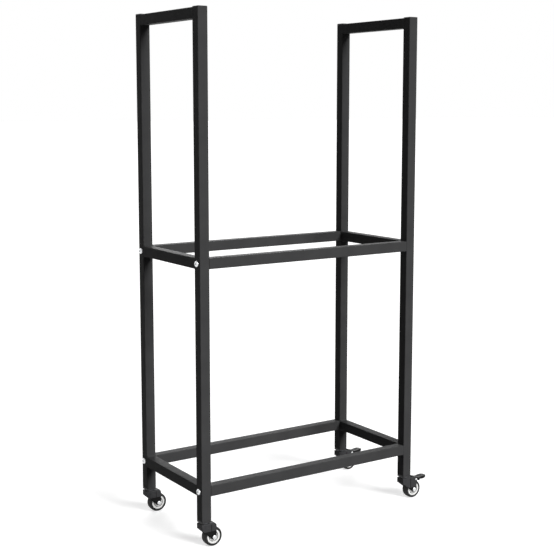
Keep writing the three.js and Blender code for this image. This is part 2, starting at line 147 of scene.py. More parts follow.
# ---- Wheels
TYRE_SHOULDER = 3.0 * MM
TYRE_CROWN = 0.35 * MM  # the tread's middle stands this much above its shoulders
TYRE_STEPS = 96
TREAD_STEPS = 4
SHOULDER_STEPS = 8
TREAD_FLAT = 0.6 * MM
PARTING_DEPTH = 0.12 * MM
PARTING_HALF_WIDTH = 0.25 * MM
# The ring moulded beside the rim: how far out from the rim, and how far below the tyre's side
TYRE_RING = ((1.3, 0), (1.0, 0.35), (0.6, 0.35), (0.3, 0), (0, 0.2))
RIM_GROOVE_RADIUS = 11.4 * MM
RIM_GROOVE_WIDTH = 1.8 * MM
RIM_GROOVE_DEPTH = 2.0 * MM
RIM_INSET = 0.7 * MM  # the rim's faces lie this much inside the tyre's
RIM_STEP = 0.6 * MM
RIM_EDGE = 0.5 * MM
HUB_RADIUS = 5.5 * MM
HUB_SKIRT = 1.5 * MM  # the lower face dips over this width round the hub
HUB_DIP = 0.3 * MM
AXLE_RADIUS = 2.5 * MM
PIN_RADIUS = 1.5 * MM

# ---- Toe brakes. The pedal's line is seen from the side, from the brake pin.
PEDAL_LINE = ((-13, 9.8), (-6, 6.6), (2, 3.6), (12, 0.6), (23, -0.8), (33, 0), (39.5, 1.6))
PEDAL_THICKNESS = 2.2 * MM
PEDAL_LIP = 2.0 * MM
PEDAL_LIP_WIDTH = 1.8 * MM
PEDAL_DISH = 0.6 * MM
PEDAL_RIM_EDGE = 0.25 * MM
PEDAL_RIM = 0.8 * MM
# Across the top, from the middle out: share of the half width, and share of the dish's depth
PEDAL_SECTION = ((0, 1), (0.55, 0.8), (0.80, 0.2), (0.92, 0))
PEDAL_STEP = 0.05 * MM  # the least step between the plate's underside and its lips
PEDAL_EDGE = 0.4 * MM
PEDAL_STATIONS = 56
PEDAL_ROOT = 2.5 * MM  # the plan is rounded over this length at its root
PEDAL_ROOT_WIDTH = 0.75  # half width at the root, as a share of the full one
PAD_START = 8.0 * MM
PAD_GROWTH = 6.0 * MM  # lips and dish reach their full size over this length
PAD_POINT = 24.0 * MM  # the plan narrows to its tip from here
ARCH_START = 11.0 * MM  # from here to its tip the pad is arched
ARCH_RISE = 3.4 * MM
ARCH_LEAN = 1.2  # above 1 puts the arch's top nearer the tip
PEDAL_TIP_WIDTH = 0.7  # half width near the tip, as a share of the full one
PEDAL_TIP_CURVE = 1.6  # above 1 keeps the sides straight for longer
PEDAL_TIP_ROUND = 6.0 * MM
PEDAL_TIP_BLUNT = 0.03  # keeps the very tip from coming to a point
PEDAL_HUB_RADIUS = 3.4 * MM
PEDAL_HUB_EDGE = 0.4 * MM
PEDAL_SWEEP = math.radians(15)
SHOE_THICKNESS = 2.2 * MM
SHOE_EDGE = 0.25 * MM
SHOE_SPAN = math.radians(34)
SHOE_STEPS = 14
SHOE_GAP = 0.35 * MM  # shoe to tyre when locked
SHOE_INSET = 0.4 * MM  # the shoe and the hub are this much narrower than the plate, on each side
STRUT_LEAN = 5.0 * MM
STRUT_EDGE = 0.4 * MM
STRUT_INSET = 0.8 * MM  # the strut is this much narrower than the shoe, on each side
RIDGE_RADIUS = 0.55 * MM
RIDGE_REACH = 0.62  # as a share of the plate's half width
RIDGE_SINK = 0.9  # how deep the ridges' axes lie, as a share of the dish
RIDGE_STEPS = 16
RIDGE_PLACES = (17.0 * MM, 20.5 * MM, 24.0 * MM, 27.5 * MM)

# ---- Floor, surround and lamps. The camera and reflections see "seen", and "unseen" lights the cart.
FLOOR_REACH = 60.0
FLOOR_SEEN = (0.85, 0.85, 0.85)
FLOOR_UNSEEN = (0.10, 0.10, 0.10)
FLOOR_GLOW = 0.5
SURROUND_SEEN = (1.0, 1.0, 1.0)
SURROUND_UNSEEN = (0.11, 0.11, 0.11)
KEY = {"azimuth": 168, "elevation": 30, "strength": 3.4, "softness": 25}  # from the front
FILL = {"azimuth": 15, "elevation": 25, "strength": 2.0, "softness": 50}  # from behind

# ---- Shading
SHARP_ANGLE = math.radians(38)
MERGE = 1e-7

# ---------------- Mesh making


def quarter(steps):
    """Angles from 0 to 90 degrees."""
    return [(math.pi / 2) * i / steps for i in range(steps + 1)]


def on_axis(axis, a, b, height):
    """The point at height along an axis, with a and b along the next two axes."""
    point = [0.0, 0.0, 0.0]
    point[axis] = height
    point[(axis + 1) % 3] = a
    point[(axis + 2) % 3] = b
    return tuple(point)


def soften(points, radius, closed=False, steps=4):
    """A line in the plane with rounded corners, each from this far before the corner to this far past it."""
    made = []
    for i, corner in enumerate(points):
        if not closed and i in (0, len(points) - 1):
            made.append(tuple(corner))
            continue
        here = Vector(corner)
        before = Vector(points[i - 1]) - here
        after = Vector(points[(i + 1) % len(points)]) - here
        start = here + before.normalized() * min(radius, 0.45 * before.length)
        end = here + after.normalized() * min(radius, 0.45 * after.length)
        for step in range(steps + 1):
            t = step / steps
            made.append(tuple((1 - t) ** 2 * start + 2 * t * (1 - t) * here + t * t * end))
    return made


def skin(rings, ends):
    """Points and faces of a surface through rings. Its ends are "capped", "open" or joined in a "loop"."""
    count = len(rings[0])
    faces = []
    for i in range(len(rings) if ends == "loop" else len(rings) - 1):
        low = i * count
        high = (i + 1) % len(rings) * count
        for j in range(count):
            k = (j + 1) % count
            faces.append((low + j, low + k, high + k, high + j))
    if ends == "capped":
        top = (len(rings) - 1) * count
        faces.append(tuple(range(count)))
        faces.append(tuple(range(top, top + count)))
    return [point for ring in rings for point in ring], faces


def join(*shapes):
    """Several shapes of points and faces as one."""
    points = []
    faces = []
    for more_points, more_faces in shapes:
        start = len(points)
        points.extend(more_points)
        faces.extend(tuple(start + index for index in face) for face in more_faces)
    return points, faces


def moved(shape, by):
    points, faces = shape
    return [tuple(Vector(point) + Vector(by)) for point in points], faces


def turned(profile, axis, steps=TURNED_STEPS, ends="open"):
    """A profile of (radius, height) turned about an axis through the origin."""
    rings = []
    for radius, height in profile:
        angles = [2 * math.pi * i / steps for i in range(steps)]
        rings.append([on_axis(axis, radius * math.cos(a), radius * math.sin(a), height) for a in angles])
    return skin(rings, ends)


def dome(flat_radius, radius, height, edge):
    """A domed head from its flat top out to its straight rim, as (radius, height)."""
    return [
        (flat_radius + (radius - flat_radius) * math.sin(a), edge + (height - edge) * math.cos(a))
        for a in quarter(DOME_STEPS)
    ]


def rounded_square(side, corner):
    """The outline of a square with rounded corners."""
    inner = side / 2 - corner
    points = []
    for turn, (across, up) in enumerate(((1, 1), (-1, 1), (-1, -1), (1, -1))):
        for angle in quarter(CORNER_STEPS):
            a = angle + turn * math.pi / 2
            points.append((across * inner + corner * math.cos(a), up * inner + corner * math.sin(a)))
    return points


def square_rings(axis, levels, corner):
    """Rings of rounded squares along an axis, one for each (side, height)."""
    return [
        [on_axis(axis, a, b, height) for a, b in rounded_square(side, min(corner, side / 4))]
        for side, height in levels
    ]


def hull(discs):
    """The convex outline round discs of (x, z, radius), anticlockwise."""
    points = []
    for x, z, radius in discs:
        for i in range(HULL_STEPS):
            angle = 2 * math.pi * i / HULL_STEPS
            points.append((x + radius * math.cos(angle), z + radius * math.sin(angle)))
    points.sort()

    def chain(ordered):
        kept = []
        for point in ordered:
            while len(kept) > 1:
                (ax, az), (bx, bz) = kept[-2:]
                if (bx - ax) * (point[1] - az) - (bz - az) * (point[0] - ax) > 1e-12:
                    break
                kept.pop()
            kept.append(point)
        return kept[:-1]

    return chain(points) + chain(points[::-1])


def inset(outline, distance):
    """An anticlockwise outline moved inwards."""
    made = []
    for i, (x, z) in enumerate(outline):
        ahead = Vector(outline[(i + 1) % len(outline)])
        along = (ahead - Vector(outline[i - 1])).normalized()
        made.append((x - along.y * distance, z + along.x * distance))
    return made


def slab(outline, half_width, edge=0.0, steps=4):
    """An outline in X and Z as a solid across Y, with its rims rounded."""
    levels = [(0.0, half_width)]
    if edge:
        levels = [
            (edge * (1 - math.cos(a)), half_width - edge * (1 - math.sin(a))) for a in quarter(steps)
        ]
    rings = []
    for side, ordered in ((-1, levels[::-1]), (1, levels)):
        for depth, y in ordered:
            rings.append([(x, side * y, z) for x, z in inset(outline, depth)])
    return skin(rings, "capped")


def mesh_object(name, shape):
    """A closed mesh object with its faces pointing out."""
    points, faces = shape
    mesh = bpy.data.meshes.new(name)
    mesh.from_pydata(points, [], faces)
    work = bmesh.new()
    work.from_mesh(mesh)
    bmesh.ops.remove_doubles(work, verts=work.verts, dist=MERGE)
    bmesh.ops.recalc_face_normals(work, faces=work.faces)
    work.to_mesh(mesh)
    work.free()
    made = bpy.data.objects.new(name, mesh)
    bpy.context.scene.collection.objects.link(made)
    return made


def combine(made, shape, operation):
    """A boolean of a mesh object with a closed shape."""
    other = mesh_object("other", shape)
    step = made.modifiers.new("combine", "BOOLEAN")
    step.operation = operation
    step.solver = "EXACT"
    step.object = other
    graph = bpy.context.evaluated_depsgraph_get()
    mesh = bpy.data.meshes.new_from_object(made.evaluated_get(graph))
    made.modifiers.clear()
    made.data = mesh
    bpy.data.objects.remove(other)


def drill(made, axis, place, radius, low, high):
    """A round hole along an axis, from low to high as measured from a place."""
    profile = [(0, low), (radius, low), (radius, high), (0, high)]
    combine(made, moved(turned(profile, axis), place), "DIFFERENCE")


def block(low, high):
    """A box between two corners."""
    (x0, y0, z0), (x1, y1, z1) = low, high
    return skin([[(x0, y0, z), (x1, y0, z), (x1, y1, z), (x0, y1, z)] for z in (z0, z1)], "capped")


def shade(made, sharp_angle=SHARP_ANGLE):
    """Smooth shading that keeps flat faces flat."""
    mesh = made.data
    mesh.shade_smooth()
    mesh.set_sharp_from_angle(angle=sharp_angle)
    even = made.modifiers.new("even_normals", "WEIGHTED_NORMAL")
    even.keep_sharp = True


def add_piece(made, body, material, node=None, place=(0, 0, 0)):
    """Shades, places and paints a piece, and hands it to its body and to the CAD node that it stands for."""
    shade(made)
    made.location = place
    if not made.data.materials:
        made.data.materials.append(material)
    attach(made, body)
    if node:
        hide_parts(node)


# ---------------- Materials


def feed(tree, value, socket):
    """Links an output to an input, or sets the input to a number, a vector or a colour."""
    if isinstance(value, bpy.types.NodeSocket):
        tree.links.new(value, socket)
    elif socket.type == "RGBA":
        socket.default_value = (*value, 1)
    else:
        socket.default_value = value


def maths(tree, operation, *values):
    """The result of a Math node."""
    node = tree.nodes.new("ShaderNodeMath")
    node.operation = operation
    for value, socket in zip(values, node.inputs):
        feed(tree, value, socket)
    return node.outputs["Value"]


def blend(tree, amount, first, second):
    """A colour between two, each a colour or an output."""
    mix = tree.nodes.new("ShaderNodeMix")
    mix.data_type = "RGBA"
    feed(tree, amount, mix.inputs["Factor"])
    feed(tree, first, mix.inputs[6])
    feed(tree, second, mix.inputs[7])
    return mix.outputs[2]


class Finish:
    """A material with short calls for its nodes. Textures lie in the piece's own coordinates."""

    def __init__(self, name):
        self.material = bpy.data.materials.new(name)
        self.material.use_nodes = True
        self.tree = self.material.node_tree
        self.nodes = self.tree.nodes
        self.shader = self.nodes["Principled BSDF"]
        self.place = self.nodes.new("ShaderNodeTexCoord").outputs["Object"]

    def feed(self, node, **inputs):
        """Feeds a node's inputs, with _ for a space in their names."""
        for name, value in inputs.items():
            feed(self.tree, value, node.inputs[name.replace("_", " ")])
        return node

    def set(self, **inputs):
        self.feed(self.shader, **inputs)

    def noise(self, size, detail=3.0, roughness=0.55, stretch=(1, 1, 1)):
        """Noise whose features are about this size, in metres."""
        scaled = self.feed(self.nodes.new("ShaderNodeMapping"), Vector=self.place, Scale=stretch)
        texture = self.nodes.new("ShaderNodeTexNoise")
        self.feed(texture, Vector=scaled.outputs[0], Scale=1 / size, Detail=detail, Roughness=roughness)
        return texture.outputs["Fac"]

    def cells(self, size):
        """Cells of about this size, from their middles outwards."""
        texture = self.nodes.new("ShaderNodeTexVoronoi")
        return self.feed(texture, Vector=self.place, Scale=1 / size).outputs["Distance"]

    def distance_from(self, axis):
        """Distance from the piece's own axis."""
        flat = self.nodes.new("ShaderNodeVectorMath")
        flat.operation = "MULTIPLY"
        flat.inputs[1].default_value = tuple(0.0 if i == axis else 1.0 for i in range(3))
        feed(self.tree, self.place, flat.inputs[0])
        length = self.nodes.new("ShaderNodeVectorMath")
        length.operation = "LENGTH"
        feed(self.tree, flat.outputs["Vector"], length.inputs[0])
        return length.outputs["Value"]

    def rings(self, axis, pitch):
        """Fine turning marks about the piece's own axis."""
        texture = self.nodes.new("ShaderNodeTexNoise")
        texture.noise_dimensions = "1D"
        self.feed(texture, W=self.distance_from(axis), Scale=1 / pitch, Detail=4.0)
        return texture.outputs["Fac"]

    def spread(self, value, low, high, start=0.3, end=0.7):
        """A value from start to end, as one from low to high."""
        mapped = self.nodes.new("ShaderNodeMapRange")
        self.feed(mapped, Value=value, From_Min=start, From_Max=end, To_Min=low, To_Max=high)
        return mapped.outputs["Result"]

    def blend(self, amount, first, second):
        return blend(self.tree, amount, first, second)

    def bump(self, *layers):
        """Bumps from (height output, depth in metres) layers."""
        under = {}
        for height, depth in layers:
            node = self.nodes.new("ShaderNodeBump")
            self.feed(node, Height=height, Distance=depth, Strength=1.0, **under)
            under = {"Normal": node.outputs["Normal"]}
        self.set(**under)


def powder_coat():
    """Black powder coat: fine orange peel, soft mottling and a dry sheen."""
    finish = Finish("powder_coat_black")
    finish.set(Specular_IOR_Level=0.015)
    mottle = finish.spread(finish.noise(45 * MM), 0.0, 1.0)
    colour = finish.blend(mottle, (0.050, 0.050, 0.051), (0.058, 0.058, 0.059))
    speck = finish.spread(finish.noise(0.9 * MM, 2.0), 0.0, 0.35, 0.5, 0.75)
    finish.set(Base_Color=finish.blend(speck, colour, (0.078, 0.078, 0.079)))
    finish.set(Roughness=finish.spread(finish.noise(14 * MM), 0.47, 0.55))
    finish.bump((finish.noise(1.6 * MM, 2.0), 0.03 * MM), (finish.noise(0.45 * MM, 1.0), 0.012 * MM))
    return finish.material


def moulded_black():
    """Black moulded plastic with a spark-eroded grain."""
    finish = Finish("moulded_black")
    finish.set(Specular_IOR_Level=0.3)
    mottle = finish.spread(finish.noise(9 * MM), 0.0, 1.0)
    finish.set(Base_Color=finish.blend(mottle, (0.016, 0.016, 0.017), (0.020, 0.020, 0.021)))
    finish.set(Roughness=finish.spread(finish.noise(3 * MM), 0.50, 0.60))
    finish.bump((finish.cells(0.5 * MM), 0.02 * MM))
    return finish.material


def plated(name, axis, dark, bright):
    """Bright plated metal with turning marks about an axis, a faint bloom and small scratches."""
    finish = Finish(name)
    finish.set(Metallic=1.0)
    bloom = finish.spread(finish.noise(2.2 * MM), 0.0, 1.0)
    finish.set(Base_Color=finish.blend(bloom, dark, bright))
    scratch = finish.noise(1.1 * MM, 4.0, stretch=(1, 7, 1))
    finish.set(Roughness=finish.spread(scratch, 0.24, 0.34))
    finish.bump((finish.rings(axis, 0.35 * MM), 0.02 * MM), (scratch, 0.006 * MM))
    return finish.material


def lacquer(name, low, high, shine, gloss):
    """Black lacquer on pressed steel, with a slight orange peel."""
    finish = Finish(name)
    finish.set(Specular_IOR_Level=gloss)
    finish.set(Base_Color=finish.blend(finish.spread(finish.noise(7 * MM), 0.0, 1.0), low, high))
    finish.set(Roughness=finish.spread(finish.noise(4 * MM), shine, shine + 0.14))
    finish.bump((finish.noise(1.2 * MM, 2.0), 0.03 * MM))
    return finish.material


def rim_white():
    """Satin white moulding, with painted shade darkening its groove."""
    finish = Finish("rim_white")
    finish.set(Specular_IOR_Level=0.4)
    cloud = finish.spread(finish.noise(5 * MM), 0.0, 1.0)
    colour = finish.blend(cloud, (0.86, 0.86, 0.85), (0.91, 0.91, 0.90))
    grime = finish.spread(finish.noise(0.8 * MM, 4.0), 0.0, 0.25, 0.55, 0.8)
    colour = finish.blend(grime, colour, (0.62, 0.62, 0.60))
    # Painted shade: the band of radii over the groove is coloured near black, standing for the shadow in the
    # recess.
    reach = RIM_GROOVE_WIDTH / 2 - 0.1 * MM
    groove_painted_shade = maths(finish.tree, "COMPARE", finish.distance_from(Y), RIM_GROOVE_RADIUS, reach)
    finish.set(Base_Color=finish.blend(groove_painted_shade, colour, (0.05, 0.05, 0.05)))
    finish.set(Roughness=finish.spread(finish.noise(2 * MM), 0.34, 0.48))
    finish.bump((finish.noise(0.7 * MM, 2.0), 0.008 * MM))
    return finish.material


def rubber(tread_radius):
    """Black rubber with a fine grain, dusty where the tread meets the floor."""
    finish = Finish("tyre_rubber")
    finish.set(Specular_IOR_Level=0.25)
    grain = finish.spread(finish.noise(2.5 * MM), 0.0, 1.0)
    colour = finish.blend(grain, (0.011, 0.011, 0.011), (0.019, 0.019, 0.019))
    rolled = finish.spread(finish.distance_from(Y), 0.0, 1.0, tread_radius - 0.8 * MM, tread_radius)
    patchy = maths(finish.tree, "MULTIPLY", rolled, finish.spread(finish.noise(3.5 * MM, 5.0), 0.1, 0.9))
    finish.set(Base_Color=finish.blend(patchy, colour, (0.045, 0.044, 0.042)))
    finish.set(Roughness=finish.spread(finish.noise(2 * MM), 0.62, 0.78))
    finish.bump((finish.noise(0.5 * MM, 3.0), 0.02 * MM))
    return finish.material


# ---------------- Frame


def middle_and_size(node):
    low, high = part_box(node)
    return (low + high) / 2, high - low


def tube_mesh(node, axis):
    """A square tube with rounded corners and sawn ends, about its middle."""
    middle, size = middle_and_size(node)
    side = size[(axis + 1) % 3]
    end = size[axis] / 2
    trimmed = side - 2 * TUBE_CUT_EDGE
    outside = [(trimmed, -end), (side, TUBE_CUT_EDGE - end), (side, end - TUBE_CUT_EDGE), (trimmed, end)]
    bore = side - 2 * TUBE_WALL
    rings = square_rings(axis, outside, TUBE_CORNER)
    rings += square_rings(axis, [(bore, end), (bore, -end)], TUBE_CORNER - TUBE_WALL)
    return mesh_object(f"{node}_tube", skin(rings, "loop"))


def add_upright(node, rails):
    """An upright, drilled where each of these rails meets it."""
    middle, size = middle_and_size(node)
    made = tube_mesh(node, Z)
    for rail in rails:
        height = middle_and_size(rail)[0].z - middle.z
        drill(made, X, (0, 0, height), BOLT_SHANK_RADIUS + GAP / 2, -size.x, size.x)
    add_piece(made, "frame", COAT, node, middle)


def add_rail(node):
    """A shelf's rail, with a drilled plate in each end."""
    middle, size = middle_and_size(node)
    made = tube_mesh(node, X)
    reach = size.z / 2 - TUBE_WALL + END_PLATE_LAP
    for side in (-1, 1):
        near, far = sorted((side * (size.x / 2 - END_PLATE), side * (size.x / 2 - TUBE_CUT_EDGE)))
        combine(made, block((near, -reach, -reach), (far, reach, reach)), "UNION")
        place = (side * size.x / 2, 0, 0)
        drill(made, X, place, BOLT_SHANK_RADIUS + GAP / 2, -2 * END_PLATE, 2 * END_PLATE)
    add_piece(made, "frame", COAT, node, middle)


def add_cross_bar(node):
    """A side frame's rung or handle bar, welded at both ends."""
    middle = middle_and_size(node)[0]
    add_welds(node)
    add_piece(tube_mesh(node, Y), "frame", COAT, node, middle)


def fillet_section():
    """A weld's section in a corner, along the post and along the bar."""
    points = [(-WELD_BURY, -WELD_BURY), (-WELD_BURY, WELD_LEG)]
    for angle in quarter(WELD_ARC_STEPS):
        reach = WELD_LEG * (1 - WELD_HOLLOW * math.sin(2 * angle))
        points.append((reach * math.sin(angle), reach * math.cos(angle)))
    return points + [(WELD_LEG, -WELD_BURY)]


def seam_section():
    """A dressed seam's section, across the joint and out of the face."""
    points = [(-SEAM_HALF_WIDTH, -SEAM_DEPTH)]
    for step in range(2 * WELD_ARC_STEPS + 1):
        across = step / WELD_ARC_STEPS - 1
        points.append((across * SEAM_HALF_WIDTH, SEAM_CROWN * (1 - across * across)))
    return points + [(SEAM_HALF_WIDTH, -SEAM_DEPTH)]


def weld(start, end, first, second, section):
    """A rippled bead of this section along a line, thinner at its ends."""
    run = end - start
    ripples = round(run.length / WELD_PITCH)
    count = ripples * WELD_STEPS
    rings = []
    for i in range(count + 1):
        share = i / count
        ripple = 1 - WELD_RIPPLE * (1 - abs(math.sin(math.pi * ripples * share)))
        taper = (1 - abs(2 * share - 1) ** 10) ** 0.5
        size = ripple * (WELD_END + (1 - WELD_END) * taper)
        here = start + run * share
        rings.append([tuple(here + (first * a + second * b) * size) for a, b in section])
    return skin(rings, "capped")


def add_welds(node):
    """Beads above and below a cross bar and dressed seams on its sides, at both ends. A handle bar has no
    bead on top, and a shelf's bar has no seam on the inside, where the rails meet it."""
    low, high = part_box(node)
    handle = node.startswith("handle_bar")
    outside = -1 if low.x < 0 else 1
    near, far = low.x + TUBE_CORNER, high.x - TUBE_CORNER
    bottom, top = low.z + TUBE_CORNER, high.z - TUBE_CORNER
    beads = []
    for y, inwards in ((low.y, 1), (high.y, -1)):
        along = Vector((0, inwards, 0))
        for z, up in ((low.z, -1), (high.z, 1)):
            if up < 0 or not handle:
                line = (Vector((near, y, z)), Vector((far, y, z)))
                beads.append(weld(*line, along, Vector((0, 0, up)), fillet_section()))
        for x, out in ((low.x, -1), (high.x, 1)):
            if out == outside or handle:
                middle = y - inwards * SEAM_OFFSET
                line = (Vector((x, middle, bottom)), Vector((x, middle, top)))
                beads.append(weld(*line, along, Vector((out, 0, 0)), seam_section()))
    made = mesh_object(f"weld_beads_{node}", join(*beads))
    add_piece(made, "frame", COAT)


def plug_side(side):
    """The side of a plug in a square tube of this side."""
    return side - 2 * TUBE_WALL - 2 * PLUG_GAP


def add_end_cap(node):
    """A moulded lid with a soft rim and a slight crown, on a plug."""
    middle, size = middle_and_size(node)
    top = size.z / 2
    seat = top - CAP_LID
    plug = plug_side(size.x)
    lid = size.x - 2 * CAP_LIP
    levels = [(plug - CAP_PLUG_CHAMFER, -top), (plug, CAP_PLUG_CHAMFER - top), (plug, seat), (lid, seat)]
    for angle in quarter(EDGE_STEPS):
        levels.append((
            lid - 2 * CAP_LID_EDGE * (1 - math.cos(angle)),
            top - CAP_DOME - CAP_LID_EDGE * (1 - math.sin(angle)),
        ))
    levels.append((lid * 0.6, top - 0.3 * CAP_DOME))
    levels.append((lid * 0.2, top))
    made = mesh_object(f"{node}_lid", skin(square_rings(Z, levels, TUBE_CORNER), "capped"))
    add_piece(made, "frame", PLASTIC, node, middle)


def add_bolt(node, outwards):
    """A button-head bolt with a hexagon socket, its head on the outside of the side frame."""
    middle, size = middle_and_size(node)
    seat = middle + Vector((outwards * (size.x / 2 - BOLT_HEAD_HEIGHT), 0, 0))
    length = size.x - BOLT_HEAD_HEIGHT
    radius = size.z / 2
    head = dome(BOLT_FLAT_RADIUS, radius, BOLT_HEAD_HEIGHT, BOLT_HEAD_EDGE)
    outside = [
        (0, -length),
        (BOLT_SHANK_RADIUS - BOLT_POINT, -length),
        (BOLT_SHANK_RADIUS, BOLT_POINT - length),
        (BOLT_SHANK_RADIUS, 0),
        (radius - BOLT_SEAT_EDGE, 0),
        (radius, BOLT_SEAT_EDGE),
        *reversed(head),
    ]
    floor = BOLT_HEAD_HEIGHT - BOLT_SOCKET_DEPTH
    socket = [
        (BOLT_SOCKET_RADIUS + BOLT_SOCKET_CHAMFER, BOLT_HEAD_HEIGHT),
        (BOLT_SOCKET_RADIUS, BOLT_HEAD_HEIGHT - BOLT_SOCKET_CHAMFER),
        (BOLT_SOCKET_RADIUS, floor),
        (0, floor - BOLT_SOCKET_CONE),
    ]
    angles = [2 * math.pi * i / TURNED_STEPS for i in range(TURNED_STEPS)]
    circle = [1.0] * TURNED_STEPS
    hexagon = [math.cos(math.pi / 6) / math.cos(a % (math.pi / 3) - math.pi / 6) for a in angles]
    rings = []
    for profile, outline in ((outside, circle), (socket, hexagon)):
        for r, height in profile:
            rings.append([
                on_axis(X, r * reach * math.cos(a), r * reach * math.sin(a), outwards * height)
                for a, reach in zip(angles, outline)
            ])
    made = mesh_object(f"{node}_button_head", skin(rings, "open"))
    add_piece(made, "frame", BOLT_ZINC, node, seat)


def add_side_frames():
    for end in ENDS:
        for side in SIDES:
            add_upright(f"upright_{side}_{end}", [f"{level}_rail_{side}" for level in LEVELS])
            add_end_cap(f"end_cap_{side}_{end}")
        for bar in ("lower_rung", "upper_rung", "handle_bar"):
            add_cross_bar(f"{bar}_{end}")


def add_shelves():
    for level in LEVELS:
        for side in SIDES:
            add_rail(f"{level}_rail_{side}")
            for end, outwards in (("left", -1), ("right", 1)):
                add_bolt(f"bolt_{level}_{side}_{end}", outwards)


# ---------------- Casters


def add_leg_insert(node):
    """A plug in the upright's foot, with a flange below a shadow groove."""
    middle, size = middle_and_size(node)
    side = size.x
    bottom, top = -size.z / 2, size.z / 2
    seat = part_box(node.replace("leg_insert", "upright"))[0].z - middle.z
    groove = seat - FLANGE_NECK
    plug = plug_side(side)
    outside = [(side - 4 * FLANGE_EDGE, bottom)]
    for angle in quarter(EDGE_STEPS):
        outside.append((
            side - 2 * FLANGE_EDGE * (1 - math.sin(angle)),
            bottom + FLANGE_EDGE * (1 - math.cos(angle)),
        ))
    outside += [
        (side, groove - FLANGE_TOP_EDGE),
        (side - 1.5 * FLANGE_TOP_EDGE, groove),
        (side - 2 * FLANGE_NECK, groove),
        (side - 2 * FLANGE_NECK, seat),
        (plug, seat),
        (plug, top - INSERT_CHAMFER),
        (plug - 2 * INSERT_CHAMFER, top),
    ]
    rings = square_rings(Z, outside, TUBE_CORNER)
    bore = STEM_RADIUS + GAP
    angles = [math.atan2(b, a) for a, b in rounded_square(side, TUBE_CORNER)]
    for height in (top, bottom):
        rings.append([on_axis(Z, bore * math.cos(a), bore * math.sin(a), height) for a in angles])
    made = mesh_object(f"{node}_flange", skin(rings, "loop"))
    add_piece(made, "frame", PLASTIC, node, middle)


def add_race(node):
    """The pressed ring between the flange and the fork."""
    middle, size = middle_and_size(node)
    radius = size.x / 2
    half = size.z / 2
    bore = STEM_RADIUS + GAP
    profile = soften([(bore, -half), (radius, -half), (radius, half), (bore, half)], RACE_EDGE, closed=True)
    made = mesh_object(f"{node}_ring", turned(profile, Z, ends="loop"))
    add_piece(made, "frame", STEEL, node, middle)


def add_stem(node):
    """The pin that the fork turns on, with its head under the crown."""
    middle, size = middle_and_size(node)
    radius = size.x / 2
    bottom, top = -size.z / 2, size.z / 2
    seat = bottom + STEM_HEAD_HEIGHT
    head = dome(radius / 2, radius, STEM_HEAD_HEIGHT, STEM_HEAD_EDGE)
    profile = [
        (0, bottom),
        *((r, seat - height) for r, height in head),
        (radius, seat),
        (STEM_RADIUS, seat),
        (STEM_RADIUS, top - STEM_CHAMFER),
        (STEM_RADIUS - STEM_CHAMFER, top),
        (0, top),
    ]
    made = mesh_object(f"{node}_pin", turned(profile, Z))
    add_piece(made, "frame", STEEL, node, middle)


